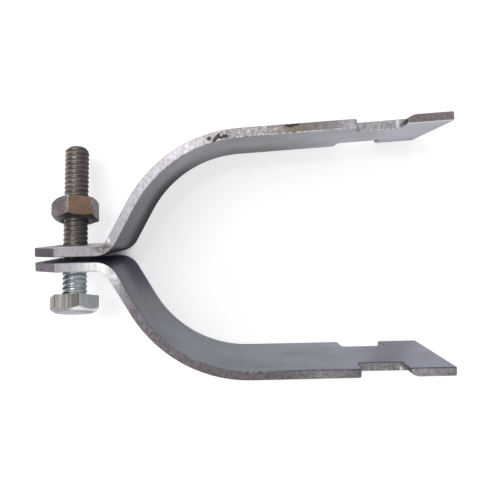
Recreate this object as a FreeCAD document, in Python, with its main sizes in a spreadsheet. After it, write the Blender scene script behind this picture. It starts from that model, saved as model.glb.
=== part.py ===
# Two-piece clamp strap set for holding a pipe on a slotted channel, lying on its side.
# X runs from the bolted ears to the feet, Y from the lower strap to the upper one, Z up
# across the straps' width. The origin is on the pipe's axis, level with the straps' lower edges.

import FreeCAD, Part
import Sketcher
import os
from math import asin, atan2, cos, hypot, pi, radians, sin

from FreeCAD import Placement, Rotation, Vector

doc = FreeCAD.newDocument("strut_pipe_clamp")

# Driving dimensions, in millimetres and degrees

size = {
    "pipe_dia": 60.2,
    "strap_width": 31.75,
    "strap_thick": 2.2,
    "ear_gap": 1.3,
    "ear_len": 15.5,
    "ear_corner_run": 6.3,
    "ear_corner_cut": 5.7,
    "ear_tip_round": 1.2,
    "hole_dia": 7.94,
    "hole_edge": 6.95,
    "bend_rad": 3.5,
    "bend_turn": 60.5,
    "slope_len": 9.7,
    "seat_and_leg_len": 81.4,
    "upper_splay": 3.3,
    "lower_splay": 0.6,
    "head_len": 11.2,
    "neck_len": 11.5,
    "notch_depth": 6.3,
    "hook_reach": 1.6,
    "hook_undercut": 1.15,
    "notch_round": 1.3,
    "wall_round": 0.6,
    "head_lip_round": 0.5,
    "hook_lip_round": 1.2,
    "shoulder_round": 1.0,
    "foot_corner_round": 0.5,
    "roll_run": 2.3,
    "roll_drop": 1.1,
    "roll_rad": 3.4,
    "bolt_dia": 6.2,
    "bolt_len": 39.7,
    "bolt_tip_bevel": 0.9,
    "bolt_rest_play": 0.08,
    "bolt_side_lean": 0.45,
    "head_across": 11.0,
    "head_thick": 4.1,
    "head_standoff": 7.4,
    "head_turn": 55.0,
    "nut_across": 10.85,
    "nut_thick": 5.7,
    "nut_standoff": 6.45,
    "nut_turn": 23.2,
    "nut_bevel": 0.6,
    "thread_play": 0.05,
    "corner_bevel": 30.0,
    "bevel_land": 0.85,
    "bevel_margin": 0.3,
}

sheet = doc.addObject("Spreadsheet::Sheet", "sizes")
for row, (alias, value) in enumerate(size.items(), 1):
    sheet.set("A%d" % row, alias)
    sheet.set("B%d" % row, str(value))
    sheet.setAlias("B%d" % row, alias)
doc.recompute()

# Lengths that follow from the driving ones, written for the sketches' expressions

seat_rad = "sizes.pipe_dia / 2"
outer_bend = "(sizes.bend_rad + sizes.strap_thick)"
seat_height = (
    "(sizes.ear_gap / 2 + " + outer_bend + " * (1 - cos(sizes.bend_turn))"
    " + sizes.slope_len * sin(sizes.bend_turn) - " + seat_rad + " * cos(sizes.bend_turn))"
)
ear_root = (
    "(" + outer_bend + " * sin(sizes.bend_turn) + sizes.slope_len * cos(sizes.bend_turn)"
    " + " + seat_rad + " * sin(sizes.bend_turn))"
)
ear_tip = "(" + ear_root + " + sizes.ear_len)"
hole_back = "(" + ear_tip + " - sizes.hole_edge)"

# The bolt leans in its clearance holes until it touches the outer edges of both ears
stack = "(sizes.ear_gap + 2 * sizes.strap_thick)"
free_hole = "(sizes.hole_dia - sizes.bolt_rest_play)"
bolt_lean = (
    "(acos(sizes.bolt_dia / sqrt(" + free_hole + " ^ 2 + " + stack + " ^ 2))"
    " - atan(" + stack + " / " + free_hole + "))"
)
half_stack = "(" + stack + " / 2 / cos(" + bolt_lean + "))"
bearing_back = "(" + half_stack + " + sizes.head_standoff)"
nut_base = "(" + half_stack + " + sizes.nut_standoff)"
nut_bore = "(sizes.bolt_dia + 2 * sizes.thread_play)"


def leg_len(splay):
    """Straight leg: what the seat arc leaves of the blank, measured at mid thickness."""
    return ("(sizes.seat_and_leg_len - (sizes.pipe_dia + sizes.strap_thick) / 2"
            " * (sizes.bend_turn - sizes." + splay + ") * pi / 180)")


def number(expression):
    """Value of an expression of the sheet."""
    result = sheet.evalExpression(expression)
    return float(getattr(result, "Value", result))


def origin_plane(body, role):
    return [feature for feature in body.Origin.OriginFeatures if feature.Role == role][0]


def new_sketch(body, name, role):
    sketch = body.newObject("Sketcher::SketchObject", name)
    sketch.AttachmentSupport = [(origin_plane(body, role), "")]
    sketch.MapMode = "FlatFace"
    return sketch


def bind(sketch, name, expression, kind, *places):
    """Add a dimension whose value follows an expression of the sheet."""
    value = number(expression)
    if kind == "Angle":
        value = radians(value)
    index = sketch.addConstraint(Sketcher.Constraint(kind, *places, value))
    sketch.renameConstraint(index, name)
    sketch.setExpression("Constraints." + name, expression)


def close_loop(sketch, lines):
    for first, second in zip(lines, lines[1:] + lines[:1]):
        sketch.addConstraint(Sketcher.Constraint("Coincident", first, 2, second, 1))


def add_polygon(sketch, corners):
    """Add a closed loop of straight lines and return their indices."""
    points = [Vector(x, y, 0) for x, y in corners]
    lines = [
        sketch.addGeometry(Part.LineSegment(first, second), False)
        for first, second in zip(points, points[1:] + points[:1])
    ]
    close_loop(sketch, lines)
    return lines


def cut_through(body, name, sketch):
    """Pocket a sketch through the strap both ways and check that it removed material."""
    before = body.Shape.Volume
    pocket = body.newObject("PartDesign::Pocket", name)
    pocket.Profile = sketch
    pocket.Type = "ThroughAll"
    pocket.SideType = "Symmetric"
    doc.recompute()
    if body.Shape.Volume >= before - 0.1:
        raise ValueError(name + " removed nothing")
    return pocket


# Strap

def strip_profile(body, splay):
    """Closed side view of the bent strip: inner face, foot end, outer face, ear end."""
    turn, lean = radians(size["bend_turn"]), radians(size[splay])
    thick, bend, seat = size["strap_thick"], size["bend_rad"], number(seat_rad)
    leg, ear = number(leg_len(splay)), Vector(size["ear_len"], 0, 0)
    root = Vector(-number(ear_root), size["ear_gap"] / 2, 0)
    bend_centre = root + Vector(0, thick + bend, 0)
    seat_centre = Vector(0, number(seat_height), 0)
    along, across = Vector(cos(lean), sin(lean), 0), Vector(-sin(lean), cos(lean), 0)
    slope_normal = Vector(-sin(turn), cos(turn), 0)
    sketch = new_sketch(body, body.Name + "_profile", "XY_Plane")

    def face(bend_radius, seat_radius, lift):
        """Ear, ear bend, slope, pipe seat and leg of one face, from ear tip to foot end."""
        start = root + Vector(0, lift, 0)
        slope_start = bend_centre - slope_normal * bend_radius
        slope_end = seat_centre + slope_normal * seat_radius
        leg_start = seat_centre + across * seat_radius
        bend_circle = Part.Circle(bend_centre, Vector(0, 0, 1), bend_radius)
        seat_circle = Part.Circle(seat_centre, Vector(0, 0, 1), seat_radius)
        stretches = [
            Part.LineSegment(start - ear, start),
            Part.ArcOfCircle(bend_circle, -radians(90), turn - radians(90)),
            Part.LineSegment(slope_start, slope_end),
            Part.ArcOfCircle(seat_circle, radians(90) + lean, radians(90) + turn),
            Part.LineSegment(leg_start, leg_start + along * leg),
        ]
        ids = [sketch.addGeometry(stretch, False) for stretch in stretches]
        ear_line, ear_bend, slope, pipe_seat, leg_line = ids
        sketch.addConstraint(Sketcher.Constraint("Tangent", ear_line, 2, ear_bend, 1))
        sketch.addConstraint(Sketcher.Constraint("Tangent", ear_bend, 2, slope, 1))
        sketch.addConstraint(Sketcher.Constraint("Tangent", slope, 2, pipe_seat, 2))
        sketch.addConstraint(Sketcher.Constraint("Tangent", pipe_seat, 1, leg_line, 1))
        sketch.addConstraint(Sketcher.Constraint("Horizontal", ear_line))
        return ids

    inner = face(bend + thick, seat, 0)
    outer = face(bend, seat + thick, thick)
    foot = seat_centre + across * seat + along * leg
    foot_end = sketch.addGeometry(Part.LineSegment(foot, foot + across * thick), False)
    tip = sketch.addGeometry(Part.LineSegment(root - ear + Vector(0, thick, 0), root - ear), False)
    for first, start, second, end in (
            (inner[4], 2, foot_end, 1), (foot_end, 2, outer[4], 2), (outer[0], 1, tip, 1),
            (tip, 2, inner[0], 1), (inner[1], 3, outer[1], 3), (inner[3], 3, outer[3], 3)):
        sketch.addConstraint(Sketcher.Constraint("Coincident", first, start, second, end))
    sketch.addConstraint(Sketcher.Constraint("Parallel", inner[2], outer[2]))
    sketch.addConstraint(Sketcher.Constraint("Parallel", inner[4], outer[4]))
    sketch.addConstraint(Sketcher.Constraint("Perpendicular", inner[4], foot_end))
    sketch.addConstraint(Sketcher.Constraint("Vertical", tip))
    sketch.addConstraint(Sketcher.Constraint("PointOnObject", inner[3], 3, -2))

    bind(sketch, "half_gap", "sizes.ear_gap / 2", "DistanceY", -1, 1, inner[0], 1)
    bind(sketch, "thickness", "sizes.strap_thick", "Distance", foot_end)
    bind(sketch, "ear_length", "sizes.ear_len", "DistanceX", inner[0], 1, inner[0], 2)
    bind(sketch, "bend_radius", "sizes.bend_rad", "Radius", outer[1])
    bind(sketch, "bend_angle", "sizes.bend_turn", "Angle", -1, 1, inner[2], 1)
    bind(sketch, "slope_length", "sizes.slope_len", "Distance", inner[2])
    bind(sketch, "seat_radius", seat_rad, "Radius", inner[3])
    bind(sketch, "leg_angle", "sizes." + splay, "Angle", -1, 1, inner[4], 1)
    bind(sketch, "leg_length", leg_len(splay), "Distance", inner[4])
    return sketch


def bolt_hole(body):
    sketch = new_sketch(body, body.Name + "_hole_circle", "XZ_Plane")
    centre = Vector(-number(hole_back), size["strap_width"] / 2, 0)
    circle = sketch.addGeometry(Part.Circle(centre, Vector(0, 0, 1), size["hole_dia"] / 2), False)
    bind(sketch, "diameter", "sizes.hole_dia", "Diameter", circle)
    bind(sketch, "setback", hole_back, "DistanceX", circle, 3, -1, 1)
    bind(sketch, "height", "sizes.strap_width / 2", "DistanceY", -1, 1, circle, 3)
    cut_through(body, body.Name + "_hole", sketch)


def ear_corners(body):
    """Cut both corners off the ear, from its tip."""
    sketch = new_sketch(body, body.Name + "_corner_cuts", "XZ_Plane")
    run, cut, back = size["ear_corner_run"], size["ear_corner_cut"], -number(ear_tip)
    for side, base, way in (("low", 0, 1), ("high", size["strap_width"], -1)):
        edge, slant, end = add_polygon(sketch, [(back, base), (back + run, base), (back, base + way * cut)])
        sketch.addConstraint(Sketcher.Constraint("Horizontal", edge))
        sketch.addConstraint(Sketcher.Constraint("Vertical", end))
        bind(sketch, side + "_tip", ear_tip, "DistanceX", edge, 1, -1, 1)
        bind(sketch, side + "_run", "sizes.ear_corner_run", "DistanceX", edge, 1, edge, 2)
        bind(sketch, side + "_cut", "sizes.ear_corner_cut", "Distance", end)
        hold_edge(sketch, side, edge)
    cut_through(body, body.Name + "_ear_corners", sketch)


def hold_edge(sketch, side, line):
    """Keep a line's start on the strap's low edge, at the X axis, or on its high one."""
    if side == "low":
        sketch.addConstraint(Sketcher.Constraint("PointOnObject", line, 1, -1))
    else:
        bind(sketch, "high_edge", "sizes.strap_width", "DistanceY", -1, 1, line, 1)


def neck_place(splay):
    """Where the foot's head begins, measured along the leg from the pipe's axis."""
    return "(" + leg_len(splay) + " + " + seat_height + " * sin(sizes." + splay + ") - sizes.head_len)"


def foot_notches(body, splay, hooked_side):
    """Notch both edges of the leg, so that the foot ends in a neck and a head with one hooked corner."""
    sketch = new_sketch(body, body.Name + "_notch_outline", "XZ_Plane")
    sketch.AttachmentOffset = Placement(Vector(), Rotation(Vector(0, 1, 0), size[splay]))
    sketch.setExpression("AttachmentOffset.Rotation.Angle", "sizes." + splay)
    head = number(neck_place(splay))
    for side, base, way in (("low", 0, 1), ("high", size["strap_width"], -1)):
        hooked = side == hooked_side
        undercut = " + sizes.hook_undercut" if hooked else ""
        floor_height = base + way * size["notch_depth"]
        leg = head - size["neck_len"]
        wall = head + (size["hook_undercut"] if hooked else 0)
        lip = wall - (size["hook_reach"] if hooked else 0)
        mouth, head_wall, floor, leg_wall = add_polygon(
            sketch, [(leg, base), (lip, base), (wall, floor_height), (leg, floor_height)])
        for line in (mouth, floor):
            sketch.addConstraint(Sketcher.Constraint("Horizontal", line))
        sketch.addConstraint(Sketcher.Constraint("Vertical", leg_wall))
        if hooked:
            bind(sketch, side + "_hook", "sizes.hook_reach", "DistanceX", mouth, 2, head_wall, 2)
        else:
            sketch.addConstraint(Sketcher.Constraint("Vertical", head_wall))
        bind(sketch, side + "_head", neck_place(splay) + undercut, "DistanceX", -1, 1, head_wall, 2)
        bind(sketch, side + "_neck", "sizes.neck_len" + undercut, "Distance", floor)
        bind(sketch, side + "_depth", "sizes.notch_depth", "Distance", leg_wall)
        hold_edge(sketch, side, mouth)
    cut_through(body, body.Name + "_notches", sketch)


def roll_head_corner(body, splay, plain_side):
    """Ease the outer face of the head's plain corner, which the notch's punch drew down."""
    before = body.Shape.Volume
    sketch = new_sketch(body, body.Name + "_roll_outline", "XY_Plane")
    sketch.AttachmentOffset = Placement(Vector(), Rotation(Vector(0, 0, 1), size[splay]))
    sketch.setExpression("AttachmentOffset.Rotation.Angle", "sizes." + splay)
    sketch.setExpression("AttachmentOffset.Base.z",
                         "sizes.notch_depth" if plain_side == "low" else "sizes.strap_width")
    outer_face = "(" + seat_height + " * cos(sizes." + splay + ") + " + seat_rad + " + sizes.strap_thick)"
    head, outer = number(neck_place(splay)), number(outer_face)
    corner = Vector(head, outer, 0)
    low, far = Vector(head, outer - size["roll_drop"], 0), Vector(head + size["roll_run"], outer, 0)

    # The roll's arc runs from the outer face down to the notch's wall
    tilt = atan2(size["roll_drop"], size["roll_run"])
    half_turn = asin(hypot(size["roll_run"], size["roll_drop"]) / 2 / size["roll_rad"])
    start, end = pi / 2 + tilt - half_turn, pi / 2 + tilt + half_turn
    centre = far - Vector(cos(start), sin(start), 0) * size["roll_rad"]
    drop = sketch.addGeometry(Part.LineSegment(corner, low), False)
    roll = sketch.addGeometry(
        Part.ArcOfCircle(Part.Circle(centre, Vector(0, 0, 1), size["roll_rad"]), start, end), False)
    top = sketch.addGeometry(Part.LineSegment(far, corner), False)
    for first, second in (((drop, 2), (roll, 2)), ((roll, 1), (top, 1)), ((top, 2), (drop, 1))):
        sketch.addConstraint(Sketcher.Constraint("Coincident", *first, *second))
    sketch.addConstraint(Sketcher.Constraint("Vertical", drop))
    sketch.addConstraint(Sketcher.Constraint("Horizontal", top))
    bind(sketch, "place", neck_place(splay), "DistanceX", -1, 1, drop, 1)
    bind(sketch, "outer_face", outer_face, "DistanceY", -1, 1, drop, 1)
    bind(sketch, "drop", "sizes.roll_drop", "Distance", drop)
    bind(sketch, "run", "sizes.roll_run", "Distance", top)
    bind(sketch, "radius", "sizes.roll_rad", "Radius", roll)
    pocket = body.newObject("PartDesign::Pocket", body.Name + "_roll")
    pocket.Profile = sketch
    pocket.setExpression("Length", "sizes.notch_depth")
    doc.recompute()
    if body.Shape.Volume >= before - 0.1:
        raise ValueError(body.Name + "_roll removed nothing")


def round_corners(body, name, alias, lean, corners):
    """Fillet the strap's through-thickness edges that stand at the given places along and across."""
    along = Vector(cos(radians(lean)), sin(radians(lean)), 0)
    picked = []
    for count, edge in enumerate(body.Shape.Edges, 1):
        first, last = edge.Vertexes[0].Point, edge.Vertexes[-1].Point
        straight = isinstance(edge.Curve, Part.Line)
        if not straight or abs(first.z - last.z) > 0.01 or abs((last - first) * along) > 0.01:
            continue
        for place, height in corners:
            if abs(first * along - place) < 0.05 and abs(first.z - height) < 0.05:
                picked.append("Edge%d" % count)
    if len(picked) != len(corners):
        raise ValueError("%s: %d corners found of %d" % (name, len(picked), len(corners)))
    before = body.Tip
    fillet = body.newObject("PartDesign::Fillet", body.Name + "_" + name)
    fillet.Base = (before, picked)
    fillet.setExpression("Radius", "sizes." + alias)
    doc.recompute()


def build_strap(name, splay, hooked_side, turned_over):
    """One bent and notched strap. The second is laid turned over about the X axis."""
    body = doc.addObject("PartDesign::Body", name)
    strip = body.newObject("PartDesign::Pad", name + "_strip")
    strip.Profile = strip_profile(body, splay)
    strip.setExpression("Length", "sizes.strap_width")
    doc.recompute()
    bolt_hole(body)
    ear_corners(body)
    foot_notches(body, splay, hooked_side)
    roll_head_corner(body, splay, "high" if hooked_side == "low" else "low")

    width, tip, head = size["strap_width"], -number(ear_tip), number(neck_place(splay))
    neck, foot = head - size["neck_len"], head + size["head_len"]
    hook_wall = head + size["hook_undercut"]
    hook = hook_wall - size["hook_reach"]
    low_floor, high_floor = size["notch_depth"], width - size["notch_depth"]
    cut, side = size["ear_corner_cut"], tip + size["ear_corner_run"]
    hooked, plain = (0, width) if hooked_side == "low" else (width, 0)
    hooked_floor, plain_floor = (low_floor, high_floor) if hooked == 0 else (high_floor, low_floor)
    round_corners(body, "tip_round", "ear_tip_round", 0,
                  [(tip, cut), (tip, width - cut), (side, 0), (side, width)])
    round_corners(body, "floor_round", "notch_round", size[splay],
                  [(neck, low_floor), (neck, high_floor)])
    round_corners(body, "wall_round", "wall_round", size[splay],
                  [(head, plain_floor), (hook_wall, hooked_floor)])
    round_corners(body, "lip_round", "head_lip_round", size[splay], [(head, plain)])
    round_corners(body, "hook_round", "hook_lip_round", size[splay], [(hook, hooked)])
    round_corners(body, "shoulder_round", "shoulder_round", size[splay], [(neck, 0), (neck, width)])
    round_corners(body, "foot_round", "foot_corner_round", size[splay], [(foot, 0), (foot, width)])
    if turned_over:
        body.Placement = Placement(Vector(0, 0, width), Rotation(Vector(1, 0, 0), 180))
        body.setExpression("Placement.Base.z", "sizes.strap_width")
    return body


# Bolt and nut, built along their own Z axis from the middle of the ear holes towards the tip

def hexagon(body, name, across, turn, height):
    """Hexagon across the fastener's axis, at a height along it."""
    sketch = new_sketch(body, name, "XY_Plane")
    corner_radius = "(sizes." + across + " / sqrt(3))"
    radius = number(corner_radius)
    corners = [(radius * cos(radians(60 * i)), radius * sin(radians(60 * i))) for i in range(6)]
    lines = add_polygon(sketch, corners)
    guide = sketch.addGeometry(Part.Circle(Vector(), Vector(0, 0, 1), radius), True)
    sketch.addConstraint(Sketcher.Constraint("Coincident", guide, 3, -1, 1))
    for line in lines:
        sketch.addConstraint(Sketcher.Constraint("PointOnObject", line, 1, guide))
    for line in lines[1:]:
        sketch.addConstraint(Sketcher.Constraint("Equal", lines[0], line))
    sketch.addConstraint(Sketcher.Constraint("PointOnObject", lines[0], 1, -1))
    bind(sketch, "corner_radius", corner_radius, "Radius", guide)
    sketch.AttachmentOffset = Placement(Vector(), Rotation(Vector(0, 0, 1), size[turn]))
    sketch.setExpression("AttachmentOffset.Rotation.Angle", "sizes." + turn)
    sketch.setExpression("AttachmentOffset.Base.z", height)
    return sketch


def bevel_corners(body, name, across, height, way):
    """Turn the hexagon's corners down at one end, as on a lathe."""
    before = body.Shape.Volume
    sketch = new_sketch(body, name + "_triangle", "XZ_Plane")
    land = "(sizes." + across + " / 2 * sizes.bevel_land)"
    reach = "(sizes." + across + " / sqrt(3) + sizes.bevel_margin)"
    drop = "((" + reach + " - " + land + ") * tan(sizes.corner_bevel))"
    inside, outside = number(land), number(reach)
    top, side, slope = add_polygon(
        sketch, [(inside, 0), (outside, 0), (outside, -way * number(drop))])
    sketch.addConstraint(Sketcher.Constraint("PointOnObject", top, 1, -1))
    sketch.addConstraint(Sketcher.Constraint("Horizontal", top))
    sketch.addConstraint(Sketcher.Constraint("Vertical", side))
    bind(sketch, "land", land, "DistanceX", -1, 1, top, 1)
    bind(sketch, "reach", reach, "DistanceX", -1, 1, top, 2)
    bind(sketch, "drop", drop, "Distance", side)
    sketch.setExpression("AttachmentOffset.Base.y", height)
    groove = body.newObject("PartDesign::Groove", name)
    groove.Profile = sketch
    groove.ReferenceAxis = (sketch, ["V_Axis"])
    groove.Angle = 360
    doc.recompute()
    if body.Shape.Volume >= before - 0.1:
        raise ValueError(name + " removed nothing")


def round_edges_at(body, diameter, height):
    """Names of the circular edges of one diameter that lie at one height along the axis."""
    names = []
    for count, edge in enumerate(body.Shape.Edges, 1):
        if not isinstance(edge.Curve, Part.Circle):
            continue
        same_size = abs(edge.Curve.Radius * 2 - diameter) < 0.01
        if same_size and abs(edge.Curve.Center.z - height) < 0.01:
            names.append("Edge%d" % count)
    return names


def lean_in_holes(body):
    """Stand a fastener in the ears' holes, leaning towards its tip."""
    side = radians(size["bolt_side_lean"])
    body.Placement = Placement(Vector(), Rotation(Vector(-cos(side), 0, sin(side)), 90))
    body.setExpression("Placement.Base.x", "-" + hole_back)
    body.setExpression("Placement.Base.z", "sizes.strap_width / 2")
    body.setExpression("Placement.Rotation.Angle", "90 deg + " + bolt_lean)


def build_bolt():
    body = doc.addObject("PartDesign::Body", "hex_bolt")
    shank_circle = new_sketch(body, "shank_circle", "XY_Plane")
    circle = shank_circle.addGeometry(Part.Circle(Vector(), Vector(0, 0, 1), size["bolt_dia"] / 2), False)
    shank_circle.addConstraint(Sketcher.Constraint("Coincident", circle, 3, -1, 1))
    bind(shank_circle, "diameter", "sizes.bolt_dia", "Diameter", circle)
    shank_circle.setExpression("AttachmentOffset.Base.z", "-" + bearing_back)
    shank = body.newObject("PartDesign::Pad", "shank")
    shank.Profile = shank_circle
    shank.setExpression("Length", "sizes.bolt_len")
    head = body.newObject("PartDesign::Pad", "head")
    head.Profile = hexagon(body, "head_hexagon", "head_across", "head_turn", "-" + bearing_back)
    head.setExpression("Length", "sizes.head_thick")
    head.Reversed = True
    doc.recompute()
    bevel_corners(body, "head_bevel", "head_across", "-" + bearing_back + " - sizes.head_thick", -1)

    tip_height = number("sizes.bolt_len - " + bearing_back)
    tip_edge = (body.Tip, round_edges_at(body, size["bolt_dia"], tip_height))
    tip = body.newObject("PartDesign::Chamfer", "tip_bevel")
    tip.Base = tip_edge
    tip.setExpression("Size", "sizes.bolt_tip_bevel")
    lean_in_holes(body)
    return body


def build_nut():
    body = doc.addObject("PartDesign::Body", "hex_nut")
    outline = hexagon(body, "nut_hexagon", "nut_across", "nut_turn", nut_base)
    bore_dia = number(nut_bore)
    bore = outline.addGeometry(Part.Circle(Vector(), Vector(0, 0, 1), bore_dia / 2), False)
    outline.addConstraint(Sketcher.Constraint("Coincident", bore, 3, -1, 1))
    bind(outline, "bore", nut_bore, "Diameter", bore)
    block = body.newObject("PartDesign::Pad", "block")
    block.Profile = outline
    block.setExpression("Length", "sizes.nut_thick")
    doc.recompute()
    bevel_corners(body, "base_bevel", "nut_across", nut_base, -1)
    bevel_corners(body, "top_bevel", "nut_across", nut_base + " + sizes.nut_thick", 1)

    base = number(nut_base)
    mouth_edges = round_edges_at(body, bore_dia, base)
    mouth_edges += round_edges_at(body, bore_dia, base + size["nut_thick"])
    block_end = body.Tip
    mouths = body.newObject("PartDesign::Chamfer", "bore_mouths")
    mouths.Base = (block_end, mouth_edges)
    mouths.setExpression("Size", "sizes.nut_bevel")
    lean_in_holes(body)
    return body


pieces = [
    build_strap("upper_strap", "upper_splay", "low", False),
    build_strap("lower_strap", "lower_splay", "high", True),
    build_bolt(),
    build_nut(),
]
doc.recompute()

# Checks, then one file for each piece

for item in doc.Objects:
    if "Invalid" in item.State or "Error" in item.State:
        raise ValueError(item.Label + " failed to build")
for piece in pieces:
    if piece.Shape.isNull() or not piece.Shape.isValid() or len(piece.Shape.Solids) != 1:
        raise ValueError(piece.Label + " isn't one valid solid")

os.makedirs("parts", exist_ok=True)
for piece in pieces:
    piece.Shape.exportStep("parts/" + piece.Label + ".step")
    box = piece.Shape.BoundBox
    print("%s %.1f mm3, x %.2f to %.2f, y %.2f to %.2f, z %.2f to %.2f" % (
        piece.Label, piece.Shape.Volume, box.XMin, box.XMax, box.YMin, box.YMax, box.ZMin, box.ZMax))
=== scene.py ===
from math import cos, pi, radians, sin, sqrt, tan

import bmesh
import bpy
from mathutils import Matrix, Vector


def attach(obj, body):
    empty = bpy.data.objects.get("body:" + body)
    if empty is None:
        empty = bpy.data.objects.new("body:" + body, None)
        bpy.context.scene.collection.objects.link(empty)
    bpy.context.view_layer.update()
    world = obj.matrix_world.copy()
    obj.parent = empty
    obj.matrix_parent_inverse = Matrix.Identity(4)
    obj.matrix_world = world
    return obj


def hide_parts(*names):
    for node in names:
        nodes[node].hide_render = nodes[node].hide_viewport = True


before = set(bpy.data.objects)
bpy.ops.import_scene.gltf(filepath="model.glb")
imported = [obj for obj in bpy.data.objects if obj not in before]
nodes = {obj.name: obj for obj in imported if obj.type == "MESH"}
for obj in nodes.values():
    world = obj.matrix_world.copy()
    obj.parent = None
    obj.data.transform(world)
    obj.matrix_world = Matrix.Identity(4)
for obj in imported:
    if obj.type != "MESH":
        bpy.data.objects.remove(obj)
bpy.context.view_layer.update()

print("frame loaded:", ", ".join(sorted(nodes)))


# Shader expressions: a Wire is one socket, and its operators add Math nodes

class Wire:
    def __init__(self, paint, socket):
        self.paint, self.socket = paint, socket

    def math(self, operation, *values):
        return self.paint.add("ShaderNodeMath", {"operation": operation}, dict(enumerate(values)))

    def __add__(self, other): return self.math("ADD", self, other)
    def __radd__(self, other): return self.math("ADD", other, self)
    def __sub__(self, other): return self.math("SUBTRACT", self, other)
    def __rsub__(self, other): return self.math("SUBTRACT", other, self)
    def __mul__(self, other): return self.math("MULTIPLY", self, other)
    def __rmul__(self, other): return self.math("MULTIPLY", other, self)
    def __truediv__(self, other): return self.math("DIVIDE", self, other)
    def __rtruediv__(self, other): return self.math("DIVIDE", other, self)
    def power(self, other): return self.math("POWER", self, other)
    def least(self, other): return self.math("MINIMUM", self, other)
    def most(self, other): return self.math("MAXIMUM", self, other)
    def size(self): return self.math("ABSOLUTE", self)

    def ramp(self, low, high, toLow=0.0, toHigh=1.0):  # smooth step from one value to another
        return self.paint.add("ShaderNodeMapRange", {"interpolation_type": "SMOOTHSTEP"},
                              {"Value": self, "From Min": low, "From Max": high,
                               "To Min": toLow, "To Max": toHigh})

    def fall(self, low, high, top=1.0):  # smooth step down to 0
        return self.ramp(low, high, top, 0.0)


class Paint:  # the node tree of one material or world
    def __init__(self, owner, output="ShaderNodeOutputMaterial"):
        owner.use_nodes = True
        self.owner, self.tree = owner, owner.node_tree
        self.tree.nodes.clear()
        self.output = self.tree.nodes.new(output)

    def add(self, kind, settings=None, inputs=None, out=0):  # out may name several sockets
        node = self.tree.nodes.new(kind)
        for key, value in (settings or {}).items():
            if key == "stops":
                ramp = node.color_ramp
                while len(ramp.elements) < len(value):
                    ramp.elements.new(0.5)
                for element, (place, colour) in zip(ramp.elements, value):
                    element.position, element.color = place, (*colour, 1)
            else:
                setattr(node, key, value)
        for key, value in (inputs or {}).items():
            if isinstance(value, Wire):
                self.tree.links.new(value.socket, node.inputs[key])
            elif node.inputs[key].type == "RGBA":
                node.inputs[key].default_value = (*value, 1)
            else:
                node.inputs[key].default_value = value
        if isinstance(out, tuple):
            return [Wire(self, node.outputs[key]) for key in out]
        return Wire(self, node.outputs[out])

    def place(self):  # object coordinates in millimetres
        place = self.add("ShaderNodeTexCoord", out="Object")
        return self.add("ShaderNodeVectorMath", {"operation": "SCALE"}, {0: place, "Scale": 1000.0})

    def turned(self, place, origin, angles):  # place read along a piece's own axes
        return self.add("ShaderNodeMapping", {"vector_type": "TEXTURE"},
                        {"Vector": place, "Location": origin, "Rotation": angles})

    def split(self, vector):
        return self.add("ShaderNodeSeparateXYZ", None, {0: vector}, out=(0, 1, 2))

    def facing(self):  # the surface's direction
        return self.split(self.add("ShaderNodeTexCoord", out="Normal"))

    def noise(self, place, scale, detail, rough, stretch=(1, 1, 1)):
        stretched = self.add("ShaderNodeVectorMath", {"operation": "MULTIPLY"},
                             {0: place, 1: stretch})
        return self.add("ShaderNodeTexNoise", {"noise_dimensions": "3D"},
                        {"Vector": stretched, "Scale": scale, "Detail": detail,
                         "Roughness": rough})

    def mix(self, factor, first, second, blend="MIX"):
        return self.add("ShaderNodeMix", {"data_type": "RGBA", "blend_type": blend},
                        {0: factor, 6: first, 7: second}, out=2)

    def tint(self, colour, other):
        return self.mix(1.0, colour, other, "MULTIPLY")

    def shade(self, colour, tone, low, high):  # darker and lighter by a tone from 0 to 1
        return self.tint(colour, self.mix(tone, (low,) * 3, (high,) * 3))

    def zones(self, x, stops):  # colours that follow one another along x, in millimetres
        low, high = stops[0][0], stops[-1][0]
        shares = [((place - low) / (high - low), colour) for place, colour in stops]
        return self.add("ShaderNodeValToRGB", {"stops": shares}, {"Fac": (x - low) / (high - low)})

    def spot(self, x, y, centre, reach):  # soft round patch around one place, 1 in its middle
        dx, dy = (x - centre[0]) / reach[0], (y - centre[1]) / reach[1]
        return (dx * dx + dy * dy).fall(0.0, 1.0)

    def bump(self, height, strength, distance):
        return self.add("ShaderNodeBump", None,
                        {"Height": height, "Strength": strength, "Distance": distance})

    def surface(self, colour, roughness, metallic, normal, **fixed):
        return self.close(self.add("ShaderNodeBsdfPrincipled", None, {
            "Base Color": colour, "Roughness": roughness, "Metallic": metallic,
            "Normal": normal, **fixed}))

    def close(self, shader):
        self.tree.links.new(shader.socket, self.output.inputs["Surface"])
        return self.owner


# Camera, floor and lamps

studio = {
    "lens": 41.688,
    "sensor": 36,
    "clipStart": 0.01,
    "cameraPlace": (-0.004221, 0.007111, 0.165877),
    "cameraTilt": (-0.04398, -0.03121, -0.02659),
    "floorSize": 4.0,
    # The floor as a card that lights the clamp, and as it is seen: open, and in narrow crevices,
    # where its colour is darkened as a painted shadow
    "floorCard": (0.82, 0.82, 0.82),
    "floorShade": ((0.49, 0.485, 0.50), (0.08, 0.07, 0.11)),
    "floorGlow": ((0.67, 0.67, 0.675), (0.02, 0.018, 0.03)),
    "creviceReach": 0.012,
    "creviceOpen": (0.08, 0.46),
    "worldColour": (0.96, 0.97, 1.0),
    "worldLevel": 0.42,
    "lamps": [
        # name, place, aim, size, power in watts, colour
        ("keyLamp", (-0.22, 0.15, 0.61), (0.0, 0.0, 0.01), 0.34, 1.6, (1.0, 0.99, 0.97)),
        ("sparkLamp", (-0.063, 0.10, 0.60), (-0.04, 0.0, 0.01), 0.035, 0.3, (1.0, 0.98, 0.95)),
        ("lowLamp", (0.05, -0.50, 0.35), (0.0, 0.0, 0.01), 0.5, 0.8, (0.97, 0.98, 1.0)),
        ("backLamp", (0.05, 0.55, 0.40), (0.0, 0.0, 0.01), 0.5, 0.5, (0.97, 0.98, 1.0)),
    ],
}


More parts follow.
